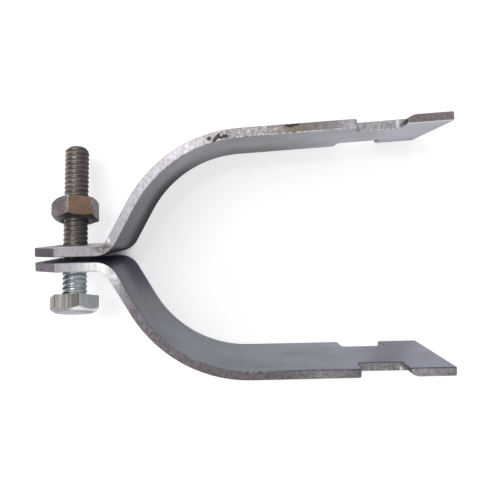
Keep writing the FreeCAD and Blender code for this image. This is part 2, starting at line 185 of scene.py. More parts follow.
def addToScene(name, data):
    item = bpy.data.objects.new(name, data)
    bpy.context.scene.collection.objects.link(item)
    return item


def addCamera():
    camera = addToScene("camera", bpy.data.cameras.new("camera"))
    camera.data.lens = studio["lens"]
    camera.data.sensor_width = studio["sensor"]
    camera.data.clip_start = studio["clipStart"]
    camera.rotation_mode = "ZYX"
    camera.location = studio["cameraPlace"]
    camera.rotation_euler = studio["cameraTilt"]
    bpy.context.scene.camera = camera


def floorPaint():
    paint = Paint(bpy.data.materials.new("paleFloor"))
    camera, glossy, through = paint.add("ShaderNodeLightPath", out=(
        "Is Camera Ray", "Is Glossy Ray", "Is Transmission Ray"))
    seen = camera.most(glossy).most(through)
    card = paint.add("ShaderNodeBsdfDiffuse", None, {"Color": studio["floorCard"]})
    openSky = paint.add("ShaderNodeAmbientOcclusion", {"samples": 16},
                        {"Distance": studio["creviceReach"]}, out="AO")
    # Painted shadow: an occlusion node darkens the floor's colour in narrow crevices
    crevice = openSky.fall(*studio["creviceOpen"])
    shade = paint.add("ShaderNodeBsdfDiffuse", None,
                      {"Color": paint.mix(crevice, *studio["floorShade"])})
    glow = paint.add("ShaderNodeEmission", None,
                     {"Color": paint.mix(crevice, *studio["floorGlow"]), "Strength": 1.0})
    lit = paint.add("ShaderNodeAddShader", None, {0: shade, 1: glow})
    return paint.close(paint.add("ShaderNodeMixShader", None, {0: seen, 1: card, 2: lit}))


def addFloor():
    bm = bmesh.new()
    bmesh.ops.create_grid(bm, x_segments=2, y_segments=2, size=studio["floorSize"] / 2)
    mesh = bpy.data.meshes.new("floor")
    bm.to_mesh(mesh)
    bm.free()
    mesh.materials.append(floorPaint())
    floor = addToScene("floor", mesh)


def addLamps():
    for name, place, aim, size, power, colour in studio["lamps"]:
        lamp = bpy.data.lights.new(name, "AREA")
        lamp.shape, lamp.size, lamp.energy, lamp.color = "DISK", size, power, colour
        item = addToScene(name, lamp)
        item.location = place
        item.rotation_euler = (Vector(aim) - Vector(place)).to_track_quat("-Z", "Y").to_euler()


def setWorld():
    paint = Paint(bpy.data.worlds.new("paleRoom"), "ShaderNodeOutputWorld")
    seen = paint.add("ShaderNodeLightPath", out="Is Camera Ray")
    room = paint.add("ShaderNodeBackground", None,
                     {"Color": studio["worldColour"], "Strength": studio["worldLevel"]})
    white = paint.add("ShaderNodeBackground", None, {"Color": (1, 1, 1), "Strength": 1.0})
    bpy.context.scene.world = paint.close(
        paint.add("ShaderNodeMixShader", None, {0: seen, 1: room, 2: white}))


bpy.context.scene.view_settings.view_transform = "Standard"
addCamera()
addFloor()
addLamps()
setWorld()
print("studio ready")


# Strap finish: rolled strip under dull zinc, with sheared edges

strap = {
    "joinWithin": 1e-6,  # metres
    "flatWithin": 0.4,  # degrees
    "sharpFrom": 75,  # degrees
    "edgeBevel": 0.0003,  # metres
    "bevelSteps": 3,
    "zincDark": (0.20, 0.21, 0.23),
    "zincPale": (0.34, 0.35, 0.38),
    "earPale": (0.68, 0.67, 0.70),
    "earDull": (0.30, 0.27, 0.29),
    "coolTint": (0.90, 1.02, 1.04),
    "notchGlint": (0.80, 0.79, 0.82),
    "bareBurr": (0.07, 0.06, 0.07),
    "insideTones": (0.84, 1.17),
    "earTones": (0.80, 1.14),
    "zincMetal": 0.35,
    "edgeMetal": 0.3,
    "zincRough": 0.45,
    "edgeRough": 0.58,
    "mattRough": 0.45,
    "gloss": 0.3,
    "bump": (0.35, 0.00008),
    # Noises: scale, detail, roughness and stretch. Streaks run along the strip, tears across it
    "cloud": (0.09, 3, 0.55),
    "streak": (1.0, 3, 0.6, (0.05, 0.05, 2.2)),
    "grain": (2.6, 2, 0.6),
    "tear": (1.0, 4, 0.6, (2.6, 0.35, 0.5)),
    "mottle": (1.1, 4, 0.68),
    "speck": (1.5, 3, 0.6),
    "stroke": (1.0, 2, 0.5, (1.3, 0.5, 0.6)),
    # Where each of these begins and is full along the strip, in millimetres
    "ear": (-24, -33),
    "earTip": (-45, -41),
    "earFace": (-33, -26),
    "earCut": (-44.6, -45.1),
    "earEnd": (-44.2, -44.7),
    "footEnd": (21, 22),
    "foot": (24, 25),
    "headWall": (42, 44),
    "burrFrom": (-34, -12),
    # And the same across it, up from the floor
    "notchFloor": (29.0, 30.6),
    "farNotch": (1.0, 2.5),
    "nearWall": (26, 30.5),
    "hookWall": (12, 14),
    "notchCorner": ((36.75, 25.6), (0.55, 0.6)),
    # Colours along the strip, from the ear's tip to the foot. A mark has a centre and a reach
    "upper": {
        "edge": [(-52, (0.38, 0.36, 0.38)), (-36, (0.37, 0.35, 0.37)), (-30, (0.46, 0.45, 0.49)),
                 (-20, (0.63, 0.60, 0.65)), (-14, (0.74, 0.71, 0.74)), (-9, (0.54, 0.51, 0.52)),
                 (-3, (0.40, 0.37, 0.38)), (2, (0.45, 0.41, 0.41)), (11, (0.21, 0.18, 0.145)),
                 (20, (0.29, 0.26, 0.28)), (25, (0.46, 0.43, 0.46)), (38, (0.21, 0.175, 0.185)),
                 (50, (0.22, 0.19, 0.21))],
        # Painted shade: the inner face is darkest at the ear and the bend, and lighter towards the
        # foot
        "inside": [(-52, (0.05, 0.045, 0.06)), (-33, (0.018, 0.016, 0.032)),
                   (-26, (0.11, 0.10, 0.13)), (-15, (0.23, 0.22, 0.245)),
                   (5, (0.25, 0.23, 0.26)), (22, (0.37, 0.35, 0.40)),
                   (35, (0.45, 0.42, 0.49)), (50, (0.41, 0.40, 0.46))],
        # Parts of the inner face with painted shade: heights, with the most, and places along the
        # strip
        "low": ((3, 20), (4, 26)),
        "lowTint": (0.37, 0.31, 0.31),
        "bend": ((3, 20, 0.7), (-25, -9)),
        "bendTint": (0.25, 0.21, 0.25),
        "floor": ((0.27, 0.28, 0.28), (0.45, 0.45, 0.465)),
        # Painted shade: notch walls darker towards the near edge, and a dark hooked wall
        "wall": ((0.34, 0.33, 0.35), (0.06, 0.05, 0.06)),
        "hook": (0.05, 0.045, 0.06),
        # Pale burr colour: a painted highlight along the rounded edge
        "burr": (0.88, 0.86, 0.88),
        "burrFull": (36, 38),
        "cornerCut": (0.12, 0.096, 0.117),
        "edgeTones": (0.76, 1.22),
        "pits": ((-1, 28), (12, 6)),
        "pitTones": ((0.09, 0.08, 0.08), (0.80, 0.77, 0.79)),
        "scuffs": [  # centre, angle in degrees, reach
            ((-7.2, 27.1), 48, (1.8, 0.52)), ((-8.8, 27.05), 15, (0.75, 0.55)),
            ((-5.2, 27.5), 10, (0.95, 0.55)), ((-6.2, 27.25), -20, (0.6, 0.4)),
            ((9.6, 29.65), -15, (1.3, 0.45)), ((11.2, 29.9), 6, (1.3, 0.45))],
        "scuffTone": (0.03, 0.02, 0.025),
        "scuffGain": 1.9,
        "scuffMost": 0.92,
        "rust": ((-33.9, 2.5), (3.2, 1.4)),
        "rustTone": (0.14, 0.115, 0.10),
        "glints": [((-32.5, 4.3), (0.4, 0.7)), ((-31.1, 2.8), (0.4, 0.55))],
        "glintTone": (0.95, 0.93, 0.95),
    },
    "lower": {
        # Painted highlight: the near-white stops from -38 to -31.6 light the edge at the bend
        "edge": [(-52, (0.38, 0.37, 0.40)), (-42, (0.40, 0.39, 0.42)), (-38, (0.66, 0.65, 0.66)),
                 (-34, (0.96, 0.95, 0.96)), (-31.6, (0.42, 0.41, 0.44)), (-28, (0.20, 0.18, 0.20)),
                 (-10, (0.15, 0.13, 0.14)), (8, (0.145, 0.13, 0.145)), (17, (0.25, 0.23, 0.24)),
                 (24, (0.18, 0.16, 0.175)), (41, (0.31, 0.29, 0.31)), (50, (0.20, 0.19, 0.21))],
        # Painted shade: darkest at the ear's tip and at the heel near -34; the pale stop at -40 is
        # painted light on the ear's inner face, which lies in deep shade
        "inside": [(-52, (0.03, 0.027, 0.035)), (-45, (0.17, 0.155, 0.21)),
                   (-40, (0.34, 0.32, 0.44)), (-34, (0.046, 0.049, 0.083)),
                   (-27, (0.12, 0.12, 0.155)), (-15, (0.19, 0.21, 0.245)),
                   (8, (0.20, 0.215, 0.26)), (24, (0.24, 0.25, 0.31)),
                   (35, (0.19, 0.195, 0.25)), (50, (0.26, 0.27, 0.34))],
        # Painted shade in the bend: heights, with the most, and places along the strip
        "bend": ((10, 26, 0.55), (-31, -25)),
        "bendStart": (-40, -36),
        "bendTint": (0.50, 0.56, 0.95),
        # Painted sheen: a darker bluish band over the lower strap's foot
        "band": (0.44, 43.5),  # slant, and where the band meets the floor
        "bandWidth": (1.5, 7.0),
        "bandTone": (0.105, 0.11, 0.16),
        "floor": ((0.17, 0.165, 0.155), (0.29, 0.285, 0.28)),
        # Painted shade: notch walls darker towards the near edge
        "wall": ((0.22, 0.21, 0.215), (0.10, 0.09, 0.10)),
        "hook": (0.34, 0.36, 0.36),
        "burr": (0.42, 0.39, 0.39),
        "burrBare": (2, 9),
        "outerLine": (-28.6, -29.3),  # outwards, where the notch's bright corner shows
        "cornerCut": (0.19, 0.165, 0.19),
        "edgeTones": (0.66, 1.32),
        # Part wear, part painted highlight: a bright spot on the bend's edge
        "rubbed": ((-31.4, -3.8), (2.4, 2.8)),
        "rubbedTone": (0.85, 0.84, 0.87),
    },
}


def innerFace(paint, side, look, x, z, cloud, tone):
    inside = paint.shade(paint.zones(x, look["inside"]), tone, *strap["insideTones"])
    inside = paint.mix(cloud.ramp(0.50, 0.62) * 0.5, inside, paint.tint(inside, strap["coolTint"]))
    if side > 0:  # browner towards the floor
        # Painted shade: the upper strap's inner face darker and browner towards the floor
        heights, places = look["low"]
        low = z.fall(*heights) * x.fall(*places)
        inside = paint.mix(low, inside, paint.tint(inside, look["lowTint"]))
    # Painted shade in the bend, strongest towards the floor, and bluer on the lower strap
    heights, places = look["bend"]
    deepBend = z.fall(*heights) * x.fall(*places)
    if side < 0:
        deepBend = deepBend * x.ramp(*look["bendStart"])
    inside = paint.mix(deepBend, inside, paint.tint(inside, look["bendTint"]))
    if side < 0:  # a bluish band slants over the foot
        # Painted sheen: a darker bluish band slanting over the foot
        slant, start = look["band"]
        band = (x + z * slant - start).size().fall(*look["bandWidth"])
        inside = paint.mix(band * tone.ramp(0.0, 1.0, 0.5, 0.85), inside, look["bandTone"])
    return inside, deepBend


def edgeMarks(paint, side, look, edge, x, y, place, mottle, speck):
    # Marks of this pair alone: pits, scuffs, a rusty bend and small bright glints that are painted
    # highlights on the upper strap; on the lower strap a bright spot on the bend, part wear and
    # part painted highlight
    if side < 0:
        # Part wear, part painted highlight: a bright spot on the lower strap's bend
        rubbed = paint.spot(x, y, *look["rubbed"]) * mottle.ramp(0.36, 0.58)
        return paint.mix(rubbed * 0.8, edge, look["rubbedTone"])
    pitted = paint.spot(x, y, *look["pits"])
    darkPit, palePit = look["pitTones"]
    edge = paint.mix(pitted * speck.ramp(0.42, 0.36) * 0.6, edge, darkPit)
    edge = paint.mix(pitted * speck.ramp(0.57, 0.64) * 0.8, edge, palePit)
    stroke = paint.noise(place, *strap["stroke"]).ramp(0.40, 0.50, 0.55, 1.0)
    for centre, angle, reach in look["scuffs"]:
        dx, dy, turn = x - centre[0], y - centre[1], radians(angle)
        scuff = paint.spot(dx * cos(turn) + dy * sin(turn), dy * cos(turn) - dx * sin(turn),
                           (0, 0), reach)
        scuff = (scuff * look["scuffGain"] * stroke).least(look["scuffMost"])
        edge = paint.mix(scuff, edge, look["scuffTone"])
    rust = paint.spot(x, y, *look["rust"]) * mottle.ramp(0.35, 0.55)
    edge = paint.mix(rust, edge, look["rustTone"])
    # Painted highlights: small bright glints on the upper strap's bend
    for centre, reach in look["glints"]:
        edge = paint.mix(paint.spot(x, y, centre, reach) * 0.8, edge, look["glintTone"])
    return edge


def footNotches(paint, side, look, edge, x, y, z, nx, mottle, speck):
    # Coarse floors; walls darkened towards the near edge with painted shade; a bright line in the
    # near corner, a painted highlight; and the hooked wall, dark with painted shade on the upper
    # strap and paler on the lower
    foot = x.ramp(*strap["foot"])
    deep = foot * z.fall(*strap["notchFloor"]) * z.ramp(*strap["farNotch"])
    torn = paint.shade(paint.mix(mottle.ramp(0.38, 0.62), *look["floor"]),
                       speck.ramp(0.4, 0.6), 0.88, 1.12)
    edge = paint.mix(deep, edge, torn)
    wall = foot * nx.ramp(-0.45, -0.75) * x.fall(*strap["headWall"])
    nearWall = paint.mix(z.ramp(*strap["nearWall"]), *look["wall"])
    edge = paint.mix(wall, edge, paint.mix(z.ramp(*strap["hookWall"]), look["hook"], nearWall))
    # Painted highlight: the bright line in the notch's near corner
    corner = paint.spot(x, z, *strap["notchCorner"])
    if side < 0:
        corner = corner * y.ramp(*look["outerLine"])
    return paint.mix(corner * 0.8, edge, strap["notchGlint"])


def strapPaint(name, side):  # side is 1 for the upper strap and -1 for the lower one
    paint = Paint(bpy.data.materials.new(name))
    look = strap["upper"] if side > 0 else strap["lower"]
    place = paint.place()
    x, y, z = paint.split(place)
    nx, ny, nz = paint.facing()
    cloud, streak, grain, tear, mottle, speck = [paint.noise(place, *strap[kind]) for kind in (
        "cloud", "streak", "grain", "tear", "mottle", "speck")]

    # Zinc on both faces: broad cloudiness, streaks along the strip and fine grain
    tone = (cloud * 0.55 + streak * 0.2 + grain * 0.25).ramp(0.39, 0.61)
    zinc = paint.mix(tone, strap["zincDark"], strap["zincPale"])
    if side > 0:  # the ear is pale, and dull again at its tip
        pale = paint.mix((x + cloud * 4).ramp(*strap["earTip"]),
                         strap["earDull"], strap["earPale"])
        zinc = paint.mix((x + cloud * 12).fall(*strap["earFace"]), zinc,
                         paint.shade(pale, tone, 0.80, 1.06))
    inside, deepBend = innerFace(paint, side, look, x, z, cloud, tone)
    inwards = ny * -side
    face = paint.mix(inwards.ramp(-0.15, 0.15), zinc, inside)

    # Sheared surfaces, mottled and finely torn: both edges, the ends and the notches' walls
    ends = x.ramp(*strap["footEnd"]) + x.ramp(*strap["earEnd"])
    sheared = nz.size().ramp(0.5, 0.75).most(ends * ny.size().fall(0.45, 0.75))
    # On the ears the shear left fine upright lines, and less cloudiness than along the legs
    onEar = x.ramp(*strap["ear"])
    torn = (tear * (0.35 + onEar * 0.35) + mottle * (0.65 - onEar * 0.35)).ramp(0.36, 0.64)
    low, high = [paint.mix(onEar, (legTone,) * 3, (earTone,) * 3)
                 for legTone, earTone in zip(look["edgeTones"], strap["earTones"])]
    edge = paint.tint(paint.zones(x, look["edge"]), paint.mix(torn, low, high))
    edge = edgeMarks(paint, side, look, edge, x, y, place, mottle, speck)
    edge = footNotches(paint, side, look, edge, x, y, z, nx, mottle, speck)
    cut = x.ramp(*strap["earCut"]) * nx.ramp(-0.3, -0.5)
    cutFace = paint.shade(paint.mix(cut, edge, look["cornerCut"]),
                          (mottle * 0.6 + tear * 0.4).ramp(0.36, 0.64), 0.72, 1.3)
    edge = paint.mix(cut, edge, cutFace)
    colour = paint.mix(sheared, face, edge)

    # A thin torn burr where the sheared edge meets the inner face; on the upper strap its pale
    # colour is a painted highlight along the rounded edge
    burr = inwards.ramp(0.1, 0.3) * inwards.fall(0.94, 0.985)
    if side > 0:
        ragged = speck.ramp(0.44, 0.56).most(x.ramp(*look["burrFull"]) * 0.9)
        burrTone = look["burr"]
    else:
        bare = x.ramp(*look["burrBare"])
        ragged = speck.ramp(0.50, 0.62) * cloud.ramp(0.40, 0.60)
        ragged = ragged.most(bare * speck.ramp(0.60, 0.50))
        burrTone = paint.mix(bare, look["burr"], strap["bareBurr"])
    shown = burr * nz.ramp(0.1, 0.25) * ragged * x.ramp(*strap["burrFrom"]) * 0.9
    colour = paint.mix(shown, colour, burrTone)

    # The bend's inner face is matt, so that it doesn't mirror the pale floor
    matt = deepBend * sheared.fall(0.0, 1.0)
    rough = strap["zincRough"] + sheared * (strap["edgeRough"] - strap["zincRough"])
    rough = rough + (grain - 0.5) * 0.25 + matt * strap["mattRough"]
    metal = strap["zincMetal"] + sheared * (strap["edgeMetal"] - strap["zincMetal"])
    metal = metal - matt * strap["zincMetal"]
    height = grain * 0.6 + streak * 0.2 + (tear * 0.7 + speck * 0.5) * sheared
    return paint.surface(colour, rough, metal, paint.bump(height, *strap["bump"]),
                         **{"Specular IOR Level": strap["gloss"]})


def smoothGroup():  # joins the loose triangles, marks sharp outward edges, and shades smooth
    group = bpy.data.node_groups.new("joinAndSmooth", "GeometryNodeTree")
    group.interface.new_socket("Geometry", in_out="INPUT", socket_type="NodeSocketGeometry")
    group.interface.new_socket("Geometry", in_out="OUTPUT", socket_type="NodeSocketGeometry")
    start, end = group.nodes.new("NodeGroupInput"), group.nodes.new("NodeGroupOutput")
    join = group.nodes.new("GeometryNodeMergeByDistance")
    join.inputs["Distance"].default_value = strap["joinWithin"]
    angle = group.nodes.new("GeometryNodeInputMeshEdgeAngle")
    sharp = group.nodes.new("FunctionNodeCompare")
    sharp.operation = "GREATER_THAN"
    sharp.inputs[1].default_value = radians(strap["sharpFrom"])
    mark = group.nodes.new("GeometryNodeStoreNamedAttribute")
    mark.data_type, mark.domain = "FLOAT", "EDGE"
    mark.inputs["Name"].default_value = "bevel_weight_edge"
    smooth = group.nodes.new("GeometryNodeSetShadeSmooth")
    group.links.new(start.outputs[0], join.inputs["Geometry"])
    group.links.new(join.outputs["Geometry"], mark.inputs["Geometry"])
    group.links.new(angle.outputs["Signed Angle"], sharp.inputs[0])
    group.links.new(sharp.outputs[0], mark.inputs["Value"])
    group.links.new(mark.outputs["Geometry"], smooth.inputs["Geometry"])
    group.links.new(smooth.outputs["Geometry"], end.inputs[0])
    return group


def dressStrap(name, side, joinAndSmooth):
    node = nodes[name]
    node.data.materials.clear()
    node.data.materials.append(strapPaint(name + "Zinc", side))
    join = node.modifiers.new("joinAndSmooth", "NODES")
    join.node_group = joinAndSmooth
    flats = node.modifiers.new("flats", "DECIMATE")
    flats.decimate_type, flats.angle_limit = "DISSOLVE", radians(strap["flatWithin"])
    bevel = node.modifiers.new("softEdges", "BEVEL")
    bevel.width, bevel.segments = strap["edgeBevel"], strap["bevelSteps"]
    bevel.limit_method, bevel.use_clamp_overlap = "WEIGHT", False
    weights = node.modifiers.new("weights", "WEIGHTED_NORMAL")
    weights.keep_sharp = False


joinAndSmooth = smoothGroup()
dressStrap("upper_strap", 1, joinAndSmooth)
dressStrap("lower_strap", -1, joinAndSmooth)
print("straps dressed")


# Bolt and nut, made along their own axis in millimetres from the middle of the ear holes

fastener = {
    "holeX": -44.485,
    "midZ": 15.875,
    # Degrees from upright on the page, and out of its plane
    "lean": 14.366,
    "sideLean": 0.45,
    "hexSteps": 144,
    "joinWithin": 1e-4,  # millimetres
    "sharpFrom": 22,  # degrees
    "edgeBevel": 0.00007,  # metres
    "bevelSteps": 2,
    "bump": (0.3, 0.00006),
}
sideLean = radians(fastener["sideLean"])
stand = (Matrix.Translation(Vector((fastener["holeX"], 0, fastener["midZ"])) / 1000)
         @ Matrix.Rotation(radians(90 + fastener["lean"]), 4,
                           Vector((-cos(sideLean), 0, sin(sideLean))))
         @ Matrix.Scale(0.001, 4))


def makePiece(name, bm, material, body):
    bmesh.ops.remove_doubles(bm, verts=bm.verts, dist=fastener["joinWithin"])
    bmesh.ops.recalc_face_normals(bm, faces=bm.faces)
    bmesh.ops.transform(bm, matrix=stand, verts=bm.verts)
    for face in bm.faces:
        face.smooth = True
    mesh = bpy.data.meshes.new(name)
    bm.to_mesh(mesh)
    bm.free()
    mesh.materials.append(material)
    piece = addToScene(name, mesh)
    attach(piece, body)
    bevel = piece.modifiers.new("softEdges", "BEVEL")
    bevel.width, bevel.segments = fastener["edgeBevel"], fastener["bevelSteps"]
    bevel.limit_method, bevel.angle_limit = "ANGLE", radians(fastener["sharpFrom"])
    piece.modifiers.new("weights", "WEIGHTED_NORMAL")
    return piece


def hexReach(angle, across, turn, wear):  # how far a hexagon with worn corners reaches
    offset = (angle - turn + 30) % 60 - 30
    return min(across / 2 / cos(radians(30 - abs(offset))), across / sqrt(3) * wear)


def closeTo(angle, place, width):  # 1 at a place on the circle, and 0 from a width in degrees
    return max(0.0, 1 - abs((angle - place + 180) % 360 - 180) / width)


def firstRing(bm, radius, height):
    bmesh.ops.create_circle(bm, cap_ends=False, segments=fastener["hexSteps"], radius=radius,
                            matrix=Matrix.Translation((0, 0, height)))
    return list(bm.edges)


def addRing(bm, edges, reach, height):
    # Extrudes an open ring of edges and sets the new one by radius and height at each angle
    made = bmesh.ops.extrude_edge_only(bm, edges=edges)["geom"]
    for vert in [item for item in made if isinstance(item, bmesh.types.BMVert)]:
        flat = Vector((vert.co.x, vert.co.y, 0)).normalized()
        angle = -Vector((1, 0)).angle_signed(flat.to_2d()) * 180 / pi
        radius = reach(angle) if callable(reach) else reach
        level = height(radius, angle) if callable(height) else height
        vert.co = flat * radius + Vector((0, 0, level))
    return [item for item in made if isinstance(item, bmesh.types.BMEdge)]


def fillHoles(bm):
    bmesh.ops.holes_fill(bm, edges=[edge for edge in bm.edges if edge.is_boundary], sides=0)


def fastenerPlace(paint):  # millimetres across the bolt's axis, and up along it
    return paint.turned(paint.place(), (fastener["holeX"], 0.0, fastener["midZ"]),
                        tuple(stand.to_euler("XYZ")))


def alongAxis(nx, ny, nz):  # how far a surface faces along the bolt's axis
    axis = stand.col[2].to_3d().normalized()
    return nx * axis.x + ny * axis.y + nz * axis.z


bolt = {
    "crest": 3.1,
    "root": 2.78,
    "pitch": 1.27,
    "steps": 40,
    "joinWithin": 1e-3,  # millimetres
    "cutWithin": 1e-5,
    # One pitch of the thread: shares of its depth, and of the pitch
    "thread": ((0.0, 0.0), (0.02, 0.09), (0.10, 0.17), (0.50, 0.30), (0.86, 0.41), (0.97, 0.46),
               (1.0, 0.5), (0.97, 0.54), (0.86, 0.59), (0.50, 0.70), (0.10, 0.83), (0.02, 0.91),
               (0.0, 1.0)),
    "bearing": -10.342,
    "tip": 29.358,
    "tipBevel": 0.9,
    "tipSlope": 0.95,
    "intoHead": 0.5,
    "headThick": 4.1,
    "headAcross": 11.0,
    "headTurn": 55.0,
    "headInset": 0.2,
    "land": 0.85,
    "middleLand": 0.5,
    "bevelSlope": 34.0,
    "cornerWear": 0.985,
    # Old grime fills part of the thread's depth above the ears
    "grimeFrom": -3.0,
    "grimeFull": -1.0,
    "grimeFill": 0.4,
    "grimeRise": 0.11,
    # Bare zinc below the ears gives way to brown between these places along the axis
    "brownZone": (-4.5, -1.5),
    "speck": (2.4, 4, 0.65),
    "stain": (0.5, 3, 0.6),
    "striation": (1.0, 3, 0.6, (2.6, 2.6, 0.10)),
    # Colours, in pairs where a noise mixes a dark and a pale tone
    "brown": ((0.145, 0.122, 0.105), (0.30, 0.26, 0.22)),
    "dull": ((0.095, 0.078, 0.082), (0.16, 0.132, 0.138)),
    # Painted rim light along the bolt's left edge
    "lavender": (0.20, 0.17, 0.21),
    "underNut": (0.055, 0.045, 0.055),
    # Part plating, part painted sheen: the pale bluish zinc below the ears
    "bare": ((0.62, 0.72, 0.72), (0.90, 0.98, 0.97)),
    "bareShade": (0.09, 0.098, 0.13),
    # Painted shade in the thread's valleys below the ears, and shade with old grime above them
    "valleyShadeLow": (0.44, 0.52, 0.53),
    "valleyShadeAndGrimeHigh": (0.075, 0.06, 0.055),
    "head": ((0.155, 0.147, 0.133), (0.285, 0.272, 0.25)),
    "headCopper": ((0.09, 0.063, 0.06), (0.40, 0.35, 0.33)),
    # Part plating, part painted reflection on the head's sides facing right
    "headGreen": ((0.52, 0.545, 0.54), (0.62, 0.64, 0.64)),
    "headEnd": ((0.34, 0.33, 0.34), (0.43, 0.42, 0.43)),
    # Painted highlight: the bright crescent on the head's end
    "headRim": (0.97, 0.97, 0.98),
    "rough": 0.30,
    "metal": 0.6,
}


def scaleAcross(vert, factor):
    vert.co.x *= factor
    vert.co.y *= factor


def threadInto(bm):
    # One pitch of the outline, spun up the shank as a right-hand screw from inside the head to
    # past the tip, and cut to its length
    root, crest, pitch, steps = bolt["root"], bolt["crest"], bolt["pitch"], bolt["steps"]
    outline = [(root + (crest - root) * out, pitch * up) for out, up in bolt["thread"]]
    low = bolt["bearing"] - 1.5 * pitch
    turns = int((bolt["tip"] - low) / pitch) + 2
    verts = [bm.verts.new((radius, 0, low + up)) for radius, up in outline]
    edges = [bm.edges.new(pair) for pair in zip(verts, verts[1:])]
    bmesh.ops.spin(bm, geom=verts + edges, cent=(0, 0, 0), axis=(0, 0, 1),
                   dvec=(0, 0, pitch / steps), angle=2 * pi * turns, steps=steps * turns,
                   use_merge=False, use_duplicate=False)
    bmesh.ops.remove_doubles(bm, verts=bm.verts, dist=bolt["joinWithin"])

    def cutAt(height, up=1, **clear):
        everything = list(bm.verts) + list(bm.edges) + list(bm.faces)
        bmesh.ops.bisect_plane(bm, geom=everything, dist=bolt["cutWithin"],
                               plane_co=(0, 0, height), plane_no=(0, 0, up), **clear)

    bevelStart = bolt["tip"] - bolt["tipBevel"]
    cutAt(bevelStart)
    cutAt(bevelStart + bolt["tipBevel"] / 2)
    cutAt(bolt["tip"], clear_outer=True)
    cutAt(bolt["bearing"] - bolt["intoHead"], -1, clear_outer=True)
    for vert in bm.verts:
        share = (vert.co.z - bolt["grimeFrom"]) / (bolt["grimeFull"] - bolt["grimeFrom"])
        depth = crest / vert.co.to_2d().length - 1
        scaleAcross(vert, 1 + depth * bolt["grimeFill"] * min(1.0, max(0.0, share)))
        over = vert.co.z - bevelStart
        if over > 0:
            limit = crest - over * bolt["tipSlope"]
            scaleAcross(vert, min(1.0, limit / vert.co.to_2d().length))
    fillHoles(bm)


def headInto(bm):  # the head is a closed shell of its own beside the shank's
    flat, end = bolt["bearing"], bolt["bearing"] - bolt["headThick"]
    land, slope = bolt["headAcross"] / 2 * bolt["land"], tan(radians(bolt["bevelSlope"]))

    def reach(angle):
        return hexReach(angle, bolt["headAcross"], bolt["headTurn"], bolt["cornerWear"])

    def level(radius, angle):
        return end + max(0, radius - land) * slope

    head = bmesh.new()
    edges = firstRing(head, bolt["root"] - bolt["headInset"], flat)
    for radius, height in ((reach, flat), (reach, level), (land, end),
                           (land * bolt["middleLand"], end)):
        edges = addRing(head, edges, radius, height)
    fillHoles(head)
    bmesh.ops.recalc_face_normals(head, faces=head.faces)
    mesh = bpy.data.meshes.new("headDraft")
    head.to_mesh(mesh)
    head.free()
    bm.from_mesh(mesh)
    bpy.data.meshes.remove(mesh)


def boltPaint():
    paint = Paint(bpy.data.materials.new("agedZincBolt"))
    own = fastenerPlace(paint)
    x, y, z = paint.split(own)
    nx, ny, nz = paint.facing()
    radius = (x * x + y * y).power(0.5)
    speck, stain, striation = [paint.noise(own, *bolt[kind]) for kind in (
        "speck", "stain", "striation")]

    # Shank: below the ears bare zinc with a painted sheen, and painted shade on its left side;
    # above them browned, with a lavender left edge as painted rim light, darker under the nut, and
    # duller and darker towards the right, partly painted shade
    mottled = (stain * 0.6 + speck * 0.4).ramp(0.36, 0.64)
    # Part plating, part painted sheen: the pale bluish zinc below the ears
    bare = paint.mix(mottled, *bolt["bare"])
    # Painted shade on the shank's left side below the ears
    bare = paint.mix(x.fall(-1.6, 0.4), bare, bolt["bareShade"])
    # Duller and darker towards the right: rougher there, and painted shade
    dull = (x * 0.9 - y * 0.3).ramp(1.2, 2.6)
    brown = paint.mix(dull, paint.mix(mottled, *bolt["brown"]), paint.mix(mottled, *bolt["dull"]))
    # Painted rim light: the left edge tinted lavender
    brown = paint.mix(x.fall(-2.9, -2.1) * 0.8, brown, bolt["lavender"])
    brown = paint.mix(z.fall(8.0, 10.0, 0.22), brown, bolt["underNut"])
    browned = z.ramp(*bolt["brownZone"])
    shank = paint.mix(browned, bare, brown)
    raised = z.ramp(bolt["grimeFrom"], bolt["grimeFull"]) * bolt["grimeRise"]
    valley = (radius - raised).fall(bolt["root"], bolt["crest"] - 0.1)
    # Painted shade in the thread's valleys, with old grime above the ears
    grime = paint.mix(browned, bolt["valleyShadeLow"], bolt["valleyShadeAndGrimeHigh"])
    shank = paint.mix(valley * 0.7, shank, grime)

    # Head: coppery streaks where the plating has gone, on the sides that face the ears' tip; pale
    # green on the sides facing right, partly plating and partly painted reflection; a painted
    # highlight as a bright crescent on the end's rim
    streaks = striation.ramp(0.38, 0.62)
    head = paint.mix(x.fall(-4.4, -2.6), paint.mix(streaks, *bolt["head"]),
                     paint.mix(streaks, *bolt["headCopper"]))
    # Part plating, part painted reflection: pale green on the sides facing right
    head = paint.mix(nx.ramp(0.2, 0.5), head, paint.mix(streaks, *bolt["headGreen"]))
    end = paint.mix((x + 1.2 * stain).ramp(-3.5, 3.0), *bolt["headEnd"])
    inner = bolt["headAcross"] / 2
    # Painted highlight: a bright crescent on the rim of the head's end
    rim = radius.ramp(inner * 0.86, inner * 0.92) * x.ramp(-0.5, 1.5)
    end = paint.shade(paint.mix(rim, end, bolt["headRim"]), speck, 0.7, 1.2)
    head = paint.mix(alongAxis(nx, ny, nz).ramp(-0.35, -0.6), head, end)
    onHead = z.fall(bolt["bearing"] - 0.02, bolt["bearing"] + 0.02)
    rough = bolt["rough"] + onHead * 0.12 + dull * 0.3 + (speck - 0.5) * 0.25
    metal = bolt["metal"] - onHead * 0.2 - dull * 0.2
    return paint.surface(paint.mix(onHead, shank, head), rough, metal,
                         paint.bump(speck * 0.5 + striation * onHead, *fastener["bump"]))


bm = bmesh.new()
threadInto(bm)
headInto(bm)
boltPiece = makePiece("threaded_bolt", bm, boltPaint(), "hex_bolt")
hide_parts("hex_bolt")
print("bolt made:", len(boltPiece.data.polygons), "faces")


